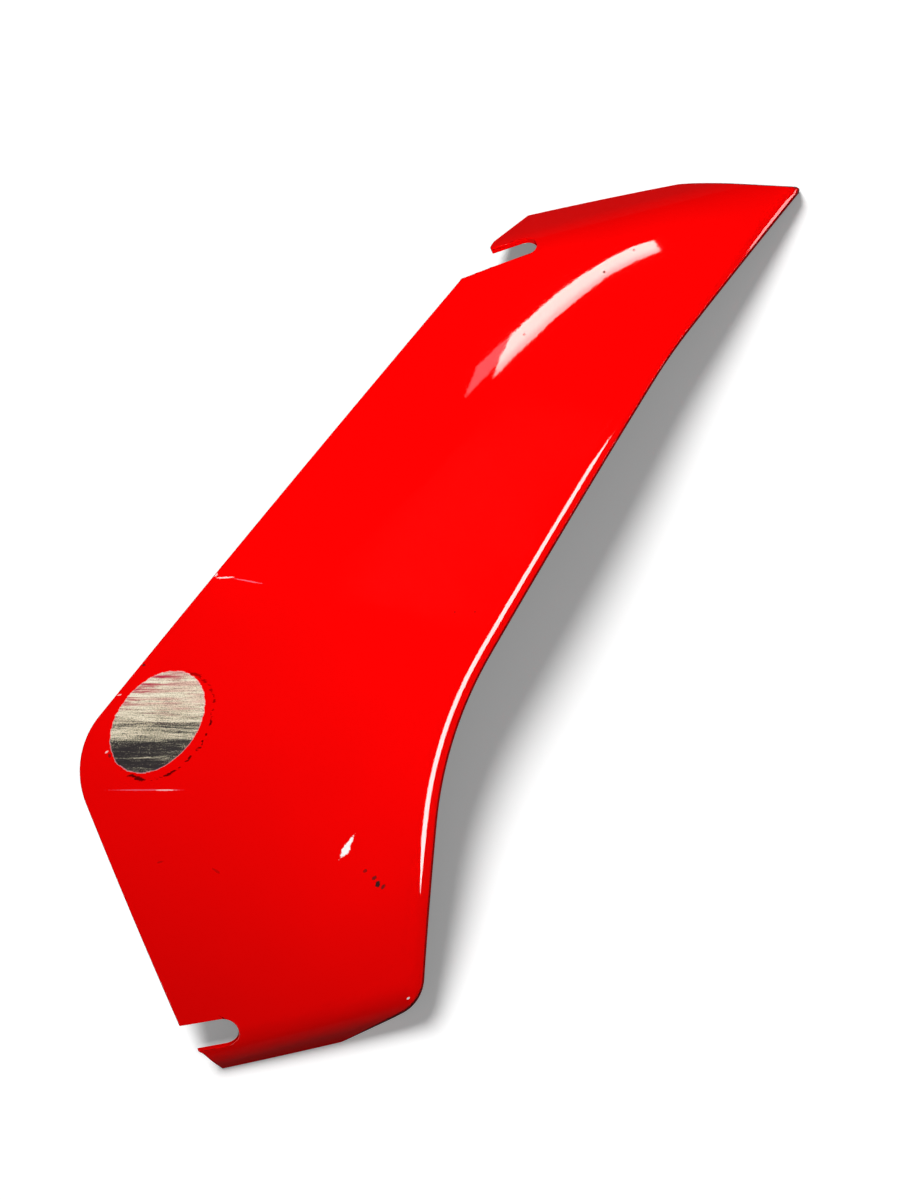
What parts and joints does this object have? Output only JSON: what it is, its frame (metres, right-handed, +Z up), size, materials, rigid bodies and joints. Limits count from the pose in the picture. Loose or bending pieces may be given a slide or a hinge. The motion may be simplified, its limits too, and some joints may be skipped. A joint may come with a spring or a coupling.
{
  "type": "motorcycle air deflector panel",
  "caption": "Shallow arched plastic panel that turns air away from a motorcycle's rider, with a folded outer edge and a slotted tongue at each end.",
  "frame": {"origin": "middle of the panel's bounding box, on the plane that its two end flanges stand on", "axes": "+X along the ridge of the vault, towards the pointed tip; +Y across the vault, towards the upper tongue; +Z up, out of the painted side"},
  "size_m": [0.3447, 0.3079, 0.044],
  "materials": {
    "painted_shell": "gloss paint on the outside, worn through at one corner"
  },
  "bodies": {
    "root": {"deflector_panel": "painted_shell"}
  },
  "joints": []
}
